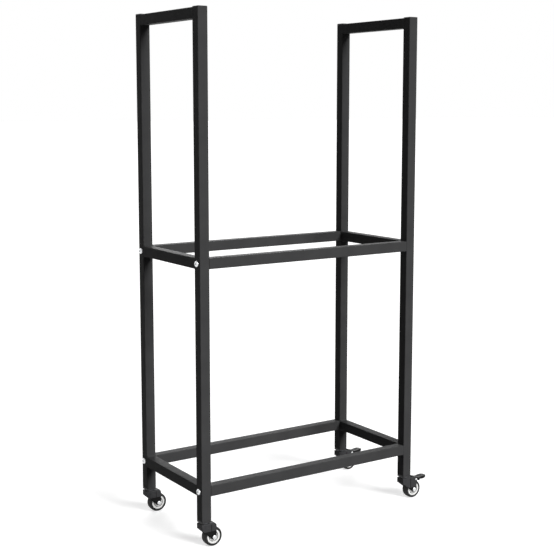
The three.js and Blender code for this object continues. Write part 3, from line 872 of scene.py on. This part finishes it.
class Fork:
    """One pressed fork about its swivel axis: a hood, and two arms set a little inside it."""

    def __init__(self, node, swivel, axle, pin):
        low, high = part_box(node)
        self.node = node
        self.front = low.x - swivel.x
        self.top = high.z
        self.below = -high.z
        self.half = (high.y - low.y) / 2
        self.inner = self.half - CHEEK_THICKNESS
        self.ceiling = self.top - CROWN_THICKNESS
        self.trail = axle.x - swivel.x
        self.wheel = axle.z
        self.far = self.trail + 3 * self.wheel
        self.hood = (self.trail - HOOD_BEFORE_AXLE, self.top - HOOD_RADIUS)
        self.pin = (pin.x - swivel.x, pin.z) if pin else None
        self.arm_top = BRAKED_ARM_TOP if pin else PLAIN_ARM_TOP

    def outline(self):
        """The cheeks from the side."""
        corner = self.front + FORK_CORNER
        discs = [
            (corner, self.top - FORK_CORNER, FORK_CORNER),
            (corner, self.top - FORK_FRONT_HEIGHT + FORK_CORNER, FORK_CORNER),
            (self.trail, self.wheel, AXLE_BOSS),
        ]
        if self.pin:
            discs.append((SLOT_FRONT - FORK_CORNER, self.top - FORK_CORNER, FORK_CORNER))
            discs.append((*self.pin, PIN_BOSS))
        else:
            discs.append((*self.hood, HOOD_RADIUS))
        return hull(discs)

    def hood_form(self):
        """A long form whose upper edges are the hood's."""
        right = [
            (self.half - HOOD_EDGE * (1 - math.cos(a)), self.top - HOOD_EDGE * (1 - math.sin(a)))
            for a in quarter(HOOD_STEPS)
        ]
        left = [(-y, z) for y, z in reversed(right)]
        section = [(-self.half, self.below), (self.half, self.below), *right, *left]
        rings = [[(x, y * HOOD_SPREAD, z) for y, z in section] for x in (-self.far, self.far)]
        return skin(rings, "capped")

    def cut_room(self, made):
        """The space between the cheeks, which is open above the lever on a braked fork."""
        front = self.front + CHEEK_THICKNESS
        inner = self.inner
        if self.pin:
            room = block((front, -inner, self.below), (SLOT_FRONT, inner, self.ceiling))
            combine(made, room, "DIFFERENCE")
            slot = block((SLOT_FRONT - HAIR, -inner, self.below), (self.far, inner, 2 * self.top))
            combine(made, slot, "DIFFERENCE")
        else:
            inside = HOOD_RADIUS - CROWN_THICKNESS
            outline = hull([
                (front + ROOM_CORNER, self.below, ROOM_CORNER),
                (front + ROOM_CORNER, self.ceiling - ROOM_CORNER, ROOM_CORNER),
                (*self.hood, inside),
                (self.hood[0] + inside - ROOM_CORNER, self.below, ROOM_CORNER),
            ])
            combine(made, slab(outline, inner), "DIFFERENCE")

    def drill_holes(self, made):
        """Room for the tyre, and the holes for stem, axle and brake pin."""
        at_axle = (self.trail, 0, self.wheel)
        room = self.inner - HAIR / 2
        through = 2 * self.half
        drill(made, Y, at_axle, self.wheel + TYRE_CLEARANCE, -room, room)
        drill(made, Z, (0, 0, 0), STEM_RADIUS + GAP, self.ceiling - MM, self.top + MM)
        drill(made, Y, at_axle, AXLE_RADIUS + GAP / 2, -through, through)
        if self.pin:
            x, z = self.pin
            drill(made, Y, (x, 0, z), PIN_RADIUS + GAP / 2, -through, through)

    def cut_cheeks(self, made):
        """The step from the hood to the arm, and the crease, on both sides."""
        outside = self.half + MM
        for side in (-1, 1):
            near, away = sorted((side * (self.half - ARM_STEP), side * outside))
            step = block((-self.far, near, self.below), (self.far, away, self.arm_top))
            combine(made, step, "DIFFERENCE")
            near, away = sorted((side * (self.half - CREASE_DEPTH), side * outside))
            crease = block(
                (CREASE_BACK - CREASE_WIDTH / 2, near, self.arm_top - MM),
                (CREASE_BACK + CREASE_WIDTH / 2, away, self.top - HOOD_EDGE),
            )
            combine(made, crease, "DIFFERENCE")

    def paint(self, made):
        """The arms and the creases get painted shade: a much darker copy of the hood's lacquer."""
        made.data.materials.clear()
        made.data.materials.append(HOOD_BLACK)
        made.data.materials.append(ARM_PAINTED_SHADE)
        for face in made.data.polygons:
            depth = self.half - abs(face.center.y)
            sunk = HAIR < depth < CREASE_DEPTH + HAIR
            shaded_crease = sunk and abs(face.center.x - CREASE_BACK) < CREASE_WIDTH
            # Painted shade: faces in a crease, and the arms' faces below their top, take the dark copy.
            face.material_index = int(shaded_crease or face.center.z < self.arm_top - HAIR)

    def mesh(self):
        made = mesh_object(f"{self.node}_pressing", slab(self.outline(), self.half, CHEEK_EDGE))
        combine(made, self.hood_form(), "INTERSECT")
        self.cut_room(made)
        self.drill_holes(made)
        self.cut_cheeks(made)
        self.paint(made)
        return made


def add_fork(node, body, swivel, axle, pin):
    made = Fork(node, swivel, axle, pin).mesh()
    add_piece(made, body, HOOD_BLACK, node, (swivel.x, swivel.y, 0))


def add_rivet(node, fork, body, radius):
    """A rivet along Y with a domed head on each cheek of a fork."""
    middle, size = middle_and_size(node)
    seat = middle_and_size(fork)[1].y / 2
    head_radius = size.z / 2
    height = size.y / 2 - seat
    head = dome(head_radius * RIVET_FLAT, head_radius, height, height * RIVET_RIM)
    half = [
        (radius, 0),
        (radius, seat),
        (head_radius - RIVET_SEAT_EDGE, seat),
        *((r, seat + h) for r, h in reversed(head)),
        (0, seat + height),
    ]
    profile = [*((r, -h) for r, h in reversed(half)), *half[1:]]
    made = mesh_object(f"{node}_rivet", turned(profile, Y))
    add_piece(made, body, RIVET_ZINC, node, middle)


def add_rim(node, body, tyre_inside):
    """The pale wheel centre: a flat ring, a groove, a lower face and a hub that runs between the cheeks."""
    middle, size = middle_and_size(node)
    hub_face = size.y / 2
    face = middle_and_size(node.replace("rim", "tyre"))[1].y / 2 - RIM_INSET
    groove_out = RIM_GROOVE_RADIUS + RIM_GROOVE_WIDTH / 2
    groove_in = RIM_GROOVE_RADIUS - RIM_GROOVE_WIDTH / 2
    upper = soften([
        (tyre_inside - GAP, 0),
        (tyre_inside - GAP, face),
        (groove_out, face),
        (groove_out, face - RIM_GROOVE_DEPTH),
        (groove_in, face - RIM_GROOVE_DEPTH),
        (groove_in, face - RIM_STEP),
        (HUB_RADIUS + HUB_SKIRT, face - RIM_STEP - HUB_DIP),
        (HUB_RADIUS, face - RIM_STEP),
        (HUB_RADIUS, hub_face),
        (AXLE_RADIUS + GAP, hub_face),
        (AXLE_RADIUS + GAP, 0),
    ], RIM_EDGE)
    profile = upper + [(r, -h) for r, h in reversed(upper[1:-1])]
    made = mesh_object(f"{node}_wheel_centre", turned(profile, Y, TYRE_STEPS, "loop"))
    add_piece(made, body, RIM, node, middle)


def add_tyre(node, body, radius, tyre_inside):
    """The tyre, with round shoulders, a slightly crowned tread and a fine parting line."""
    middle, size = middle_and_size(node)
    half = size.y / 2
    shoulder_radius = radius - TYRE_CROWN
    corner = half - TYRE_SHOULDER
    upper = [(radius - PARTING_DEPTH, 0), (radius, PARTING_HALF_WIDTH), (radius, TREAD_FLAT)]
    for i in range(1, TREAD_STEPS):
        share = i / TREAD_STEPS
        upper.append((radius - TYRE_CROWN * share ** 2, corner * share))
    for angle in quarter(SHOULDER_STEPS):
        upper.append((
            shoulder_radius - TYRE_SHOULDER * (1 - math.cos(angle)),
            corner + TYRE_SHOULDER * math.sin(angle),
        ))
    upper += [(tyre_inside + out * MM, half - below * MM) for out, below in TYRE_RING]
    profile = upper + [(r, -h) for r, h in reversed(upper[1:])]
    made = mesh_object(f"{node}_tread", turned(profile, Y, TYRE_STEPS, "loop"))
    place = Vector((middle.x, middle.y, radius))
    add_piece(made, body, RUBBER, node, place)


# ---------------- Toe brakes


def pedal_curve(x):
    """Height of the plate's middle at a distance behind the pin: a smooth line through the points."""
    points = [(a * MM, b * MM) for a, b in PEDAL_LINE]
    index = next(i for i in range(1, len(points)) if x <= points[i][0] or i == len(points) - 1)
    (x0, z0), (x1, z1) = points[index - 1], points[index]
    before = points[max(index - 2, 0)]
    after = points[min(index + 1, len(points) - 1)]
    width = x1 - x0
    slope_start = (z1 - before[1]) / (x1 - before[0])
    slope_end = (after[1] - z0) / (after[0] - x0)
    t = (x - x0) / width
    return (
        (2 * t ** 3 - 3 * t * t + 1) * z0
        + (t ** 3 - 2 * t * t + t) * slope_start * width
        + (3 * t * t - 2 * t ** 3) * z1
        + (t ** 3 - t * t) * slope_end * width
    )


def pedal_top(x):
    """Height of the plate's top at a distance behind the pin."""
    share = min(1.0, max(0.0, (x - ARCH_START) / (PEDAL_LINE[-1][0] * MM - ARCH_START)))
    return pedal_curve(x) + PEDAL_THICKNESS / 2 + ARCH_RISE * math.sin(math.pi * share ** ARCH_LEAN)


def pedal_half_width(x, full):
    """Half the plate's width at a distance behind the pin."""
    start, end = PEDAL_LINE[0][0] * MM, PEDAL_LINE[-1][0] * MM
    root = min(1.0, (x - start) / PEDAL_ROOT)
    widening = math.sqrt(max(0.0, 1 - (1 - root) ** 2))
    width = full * (PEDAL_ROOT_WIDTH + (1 - PEDAL_ROOT_WIDTH) * widening)
    if x > PAD_POINT:
        share = (x - PAD_POINT) / (end - PAD_POINT)
        width *= 1 - (1 - PEDAL_TIP_WIDTH) * share ** PEDAL_TIP_CURVE
    rounding = max(0.0, 1 - (end - x) / PEDAL_TIP_ROUND)
    return width * math.sqrt(max(PEDAL_TIP_BLUNT, 1 - rounding ** 2))


def pedal_plate(full):
    """The curved plate, dished on top, with lips along its sides from the pad on."""
    start, end = PEDAL_LINE[0][0] * MM, PEDAL_LINE[-1][0] * MM
    rings = []
    for i in range(PEDAL_STATIONS + 1):
        x = start + (end - start) * (1 - math.cos(math.pi * i / PEDAL_STATIONS)) / 2
        width = pedal_half_width(x, full)
        grown = min(1.0, max(0.0, (x - PAD_START) / PAD_GROWTH)) * width / full
        lip_width = min(PEDAL_LIP_WIDTH, 0.5 * width)
        edge = min(PEDAL_EDGE, 0.2 * width)
        top = pedal_top(x)
        inside = top - PEDAL_THICKNESS + PEDAL_STEP
        foot = pedal_curve(x) - PEDAL_THICKNESS / 2 - PEDAL_LIP * grown
        inner_edge = min(edge / 2, 0.4 * (inside - foot))
        half = [
            *((share * width, top - depth * PEDAL_DISH * grown) for share, depth in PEDAL_SECTION),
            (0.98 * width, top - PEDAL_RIM_EDGE),
            (width, top - PEDAL_RIM),
            (width, foot + edge),
            (width - edge, foot),
            (width - lip_width + inner_edge, foot),
            (width - lip_width, foot + inner_edge),
            (width - lip_width - inner_edge / 2, inside),
            (0.0, inside),
        ]
        other = [(-y, z) for y, z in reversed(half[1:-1])]
        rings.append([(x, y, z) for y, z in half + other])
    return skin(rings, "capped")


def pedal_ridges(full):
    """Grip ridges across the pad."""
    ridges = []
    for x in RIDGE_PLACES:
        reach = RIDGE_REACH * pedal_half_width(x, full)
        height = pedal_top(x) - PEDAL_DISH * RIDGE_SINK
        profile = [
            (RIDGE_RADIUS * math.sin(a), -reach - RIDGE_RADIUS * math.cos(a)) for a in quarter(EDGE_STEPS)
        ]
        profile += [(r, -h) for r, h in reversed(profile)]
        ridges.append(moved(turned(profile, Y, RIDGE_STEPS), (x, 0, height)))
    return ridges


def brake_shoe(wheel, tyre_radius, width):
    """The shoe, an arc that follows the tyre when it is locked, and the strut that carries it."""
    start = math.atan2(-wheel.z, -wheel.x)
    inner = tyre_radius + SHOE_GAP
    outer = inner + SHOE_THICKNESS

    def when_free(radius, angle):
        """A point round the locked wheel, turned back to where it is when the brake is free."""
        x, z = wheel.x + radius * math.cos(angle), wheel.z + radius * math.sin(angle)
        cos, sin = math.cos(PEDAL_SWEEP), math.sin(PEDAL_SWEEP)
        return x * cos - z * sin, x * sin + z * cos

    angles = [start - SHOE_SPAN * i / SHOE_STEPS for i in range(SHOE_STEPS + 1)]
    shoe = [when_free(inner, a) for a in angles] + [when_free(outer, a) for a in reversed(angles)]
    foot = when_free(inner + SHOE_THICKNESS / 2, angles[-1])
    top_x = foot[0] + STRUT_LEAN
    strut = hull([
        (*foot, SHOE_THICKNESS / 2),
        (top_x, pedal_curve(top_x), SHOE_THICKNESS / 2),
    ])
    return [slab(shoe[::-1], width, SHOE_EDGE, 2), slab(strut, width - STRUT_INSET, STRUT_EDGE, 2)]


def add_pedal(node, body, pin, axle, tyre_radius):
    full = middle_and_size(node)[1].y / 2
    width = full - SHOE_INSET
    hub = slab(hull([(0, 0, PEDAL_HUB_RADIUS)]), width, PEDAL_HUB_EDGE)
    made = mesh_object(f"{node}_lever", pedal_plate(full))
    for shape in (hub, *brake_shoe(axle - pin, tyre_radius, width), *pedal_ridges(full)):
        combine(made, shape, "UNION")
    drill(made, Y, (0, 0, 0), PIN_RADIUS + GAP / 2, -2 * full, 2 * full)
    add_piece(made, body, PEDAL_BLACK, node, pin)


def add_caster(side, end):
    at = f"{side}_{end}"
    swivel = JOINTS[f"swivel_{at}"]
    axle = JOINTS[f"roll_{at}"]
    pin = JOINTS.get(f"brake_press_{at}")
    tyre_radius = axle.z
    rim_size = middle_and_size(f"rim_{at}")[1]
    tyre_inside = rim_size.z / 2 + GAP
    add_leg_insert(f"leg_insert_{at}")
    add_race(f"swivel_race_{at}")
    add_stem(f"stem_{at}")
    fork, body = f"fork_{at}", f"caster_{at}"
    add_fork(fork, body, swivel, axle, pin)
    add_rivet(f"axle_{at}", fork, body, AXLE_RADIUS)
    add_rim(f"rim_{at}", f"wheel_{at}", tyre_inside)
    add_tyre(f"tyre_{at}", f"wheel_{at}", tyre_radius, tyre_inside)
    if pin:
        add_rivet(f"brake_pin_{at}", fork, body, PIN_RADIUS)
        add_pedal(f"brake_pedal_{at}", f"brake_{at}", pin, axle, tyre_radius)


# ---------------- Stage


def seen_directly(tree):
    """1 for camera, glossy and transmission rays, and else 0."""
    path = tree.nodes.new("ShaderNodeLightPath").outputs
    total = maths(tree, "MAXIMUM", path["Is Camera Ray"], path["Is Glossy Ray"])
    return maths(tree, "MAXIMUM", total, path["Is Transmission Ray"])


def add_floor():
    """A wide pale floor. Seen directly it is near white and keeps the cart's soft shadow."""
    corners = [(-1, -1), (1, -1), (1, 1), (-1, 1)]
    points = [(x * FLOOR_REACH, y * FLOOR_REACH, 0) for x, y in corners]
    floor = mesh_object("floor", (points, [(0, 1, 2, 3)]))
    material = bpy.data.materials.new("floor_pale")
    material.use_nodes = True
    tree = material.node_tree
    matt = tree.nodes["Principled BSDF"]
    matt.inputs["Roughness"].default_value = 0.9
    matt.inputs["Specular IOR Level"].default_value = 0.0
    direct = seen_directly(tree)
    feed(tree, blend(tree, direct, FLOOR_UNSEEN, FLOOR_SEEN), matt.inputs["Base Color"])
    glow = tree.nodes.new("ShaderNodeEmission")
    feed(tree, maths(tree, "MULTIPLY", direct, FLOOR_GLOW), glow.inputs["Strength"])
    both = tree.nodes.new("ShaderNodeAddShader")
    feed(tree, matt.outputs["BSDF"], both.inputs[0])
    feed(tree, glow.outputs["Emission"], both.inputs[1])
    feed(tree, both.outputs["Shader"], tree.nodes["Material Output"].inputs["Surface"])
    floor.data.materials.append(material)


def add_world():
    """A white surround that lights the cart only dimly."""
    world = bpy.data.worlds.new("surround")
    bpy.context.scene.world = world
    world.use_nodes = True
    tree = world.node_tree
    tone = blend(tree, seen_directly(tree), SURROUND_UNSEEN, SURROUND_SEEN)
    feed(tree, tone, tree.nodes["Background"].inputs["Color"])


def add_aimed(name, data, axis, azimuth, elevation):
    """A lamp or camera, with this axis of its own towards an azimuth and elevation."""
    flat = math.cos(elevation)
    towards = Vector((math.sin(azimuth) * flat, math.cos(azimuth) * flat, math.sin(elevation)))
    made = bpy.data.objects.new(name, data)
    made.rotation_mode = "QUATERNION"
    made.rotation_quaternion = towards.to_track_quat(axis, "Y")
    bpy.context.scene.collection.objects.link(made)
    return made


def add_sun(name, azimuth, elevation, strength, softness):
    """A soft distant lamp that shines from an azimuth and elevation."""
    data = bpy.data.lights.new(name, "SUN")
    data.energy = strength
    data.angle = math.radians(softness)
    add_aimed(name, data, "Z", math.radians(azimuth), math.radians(elevation))


def add_camera():
    data = bpy.data.cameras.new("camera")
    data.sensor_width = 36
    data.lens = CAMERA_LENS
    data.shift_y = CAMERA_SHIFT
    camera = add_aimed("camera", data, "-Z", CAMERA_AZIMUTH, CAMERA_PITCH)
    camera.location = CAMERA_PLACE
    bpy.context.scene.camera = camera


# ---------------- The scene

COAT = powder_coat()
PLASTIC = moulded_black()
BOLT_ZINC = plated("zinc_bolts", X, (0.60, 0.61, 0.62), (0.70, 0.71, 0.72))
RIVET_ZINC = plated("zinc_rivets", Y, (0.60, 0.61, 0.62), (0.70, 0.71, 0.72))
STEEL = plated("turned_steel", Z, (0.10, 0.10, 0.11), (0.17, 0.17, 0.18))
HOOD_BLACK = lacquer("fork_hood_black", (0.042, 0.042, 0.044), (0.052, 0.052, 0.054), 0.38, 0.05)
# Painted shade: a much darker copy of the hood's lacquer, for the fork's arms and creases.
ARM_PAINTED_SHADE = lacquer("fork_arm_painted_shade", (0.004, 0.004, 0.004), (0.007, 0.007, 0.007), 0.34, 0.08)
PEDAL_BLACK = lacquer("pedal_black", (0.008, 0.008, 0.008), (0.012, 0.012, 0.012), 0.32, 0.08)
RIM = rim_white()
RUBBER = rubber(JOINTS["roll_front_left"].z)

add_side_frames()
add_shelves()
for side in SIDES:
    for end in ENDS:
        add_caster(side, end)

add_floor()
add_world()
add_sun("key", **KEY)
add_sun("fill", **FILL)
add_camera()
scene = bpy.context.scene
scene.view_settings.view_transform = "Standard"
